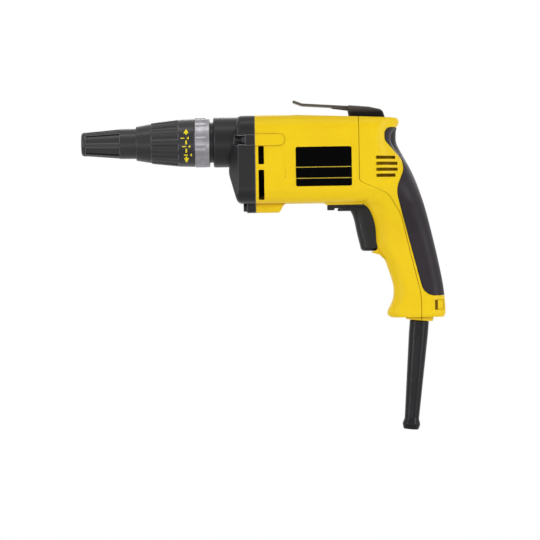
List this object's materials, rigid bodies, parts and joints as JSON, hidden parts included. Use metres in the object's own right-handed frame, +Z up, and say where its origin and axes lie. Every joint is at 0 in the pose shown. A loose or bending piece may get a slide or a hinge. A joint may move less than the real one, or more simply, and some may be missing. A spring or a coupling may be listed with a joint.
{
  "type": "drywall screwdriver",
  "caption": "Corded drywall screwdriver: tapered nose with depth collar, gear case, motor housing, curved pistol handle with trigger, belt clip and cord protector.",
  "frame": {"origin": "centre of the nose's mouth, on the spindle line, in the plane of the nose's front face", "axes": "+X runs back along the spindle, +Z is up, +Y is the user's right side"},
  "size_m": [0.2953, 0.069, 0.2703],
  "materials": {
    "yellow_plastic": "moulded, fine grain",
    "black_plastic": "moulded, fine grain",
    "black_rubber": "moulded, matt",
    "coated_steel": "black coated sheet",
    "steel": "machined",
    "core_steel": "stacked sheet",
    "cast_alloy": "cast, satin",
    "bronze": "sintered",
    "copper": "enamelled wire",
    "carbon": "pressed"
  },
  "bodies": {
    "housing": {"motor_housing": "yellow_plastic", "handle_cover": "yellow_plastic", "rear_grip": "black_rubber", "front_bearing": "steel", "rear_bearing": "steel", "gear_case": "black_plastic", "bearing_plate": "cast_alloy", "gear_case_screws": "steel", "retaining_ring": "steel", "spindle_bush": "bronze", "gear_bush": "bronze", "fan_baffle": "black_plastic", "field_core": "core_steel", "field_coils": "copper", "brush_holders": "bronze", "carbon_brushes": "carbon", "brush_springs": "steel", "switch_body": "black_plastic", "belt_clip": "coated_steel", "belt_clip_screws": "steel", "cord_protector": "black_rubber", "cord_clamp": "black_plastic", "cord_clamp_screws": "steel"},
    "nosepiece": {"locating_ring": "cast_alloy"},
    "collar": {"depth_collar": "black_plastic"},
    "nose": {"nose_cone": "black_plastic"},
    "push_washer": {"thrust_washer": "steel"},
    "drive_spindle": {"spindle": "steel", "bit_holder": "steel", "driver_bit": "steel"},
    "drive_gear": {"clutch_gear": "steel", "clutch_spring": "steel"},
    "armature": {"armature_shaft": "steel", "armature_core": "core_steel", "armature_windings": "copper", "commutator": "copper", "cooling_fan": "black_plastic"},
    "trigger_blade": {"trigger": "black_plastic"},
    "reverser": {"reversing_lever": "black_plastic"}
  },
  "joints": [
    {"name": "trigger_pull", "type": "slide", "parent": "housing", "child": "trigger_blade", "axis": [1, 0, 0], "range_m": [0, 0.007], "stiffness_N_per_m": 1500, "springref_m": -0.004},
    {"name": "reverser_turn", "type": "hinge", "parent": "housing", "child": "reverser", "pos_m": [0.234, 0, -0.0543], "axis": [0, 0, 1], "range_deg": [-12, 12]},
    {"name": "nosepiece_pull", "type": "slide", "parent": "housing", "child": "nosepiece", "axis": [-1, 0, 0], "range_m": [0, 0.107], "deforming": ["retaining_ring"]},
    {"name": "collar_turn", "type": "hinge", "parent": "nosepiece", "child": "collar", "pos_m": [0.07, 0, 0], "axis": [1, 0, 0], "range_deg": [-360, 360]},
    {"name": "nose_slide", "type": "slide", "parent": "nosepiece", "child": "nose", "axis": [1, 0, 0], "range_m": [-0.004, 0.004]},
    {"name": "spindle_push", "type": "slide", "parent": "housing", "child": "push_washer", "axis": [1, 0, 0], "range_m": [0, 0.0032], "stiffness_N_per_m": 2500, "springref_m": -0.004, "deforming": ["clutch_spring"]},
    {"name": "spindle_spin", "type": "hinge", "parent": "push_washer", "child": "drive_spindle", "pos_m": [0.1, 0, 0], "axis": [1, 0, 0], "continuous": true},
    {"name": "gear_spin", "type": "hinge", "parent": "housing", "child": "drive_gear", "pos_m": [0.129, 0, 0], "axis": [1, 0, 0], "continuous": true},
    {"name": "armature_spin", "type": "hinge", "parent": "housing", "child": "armature", "pos_m": [0.18, 0, -0.015], "axis": [1, 0, 0], "continuous": true}
  ],
  "couplings": [
    {"joint": "nose_slide", "follows": "collar_turn", "m_per_rad": 0.0006366},
    {"joint": "spindle_spin", "follows": "armature_spin", "ratio": -0.25},
    {"joint": "gear_spin", "follows": "armature_spin", "ratio": -0.25}
  ]
}
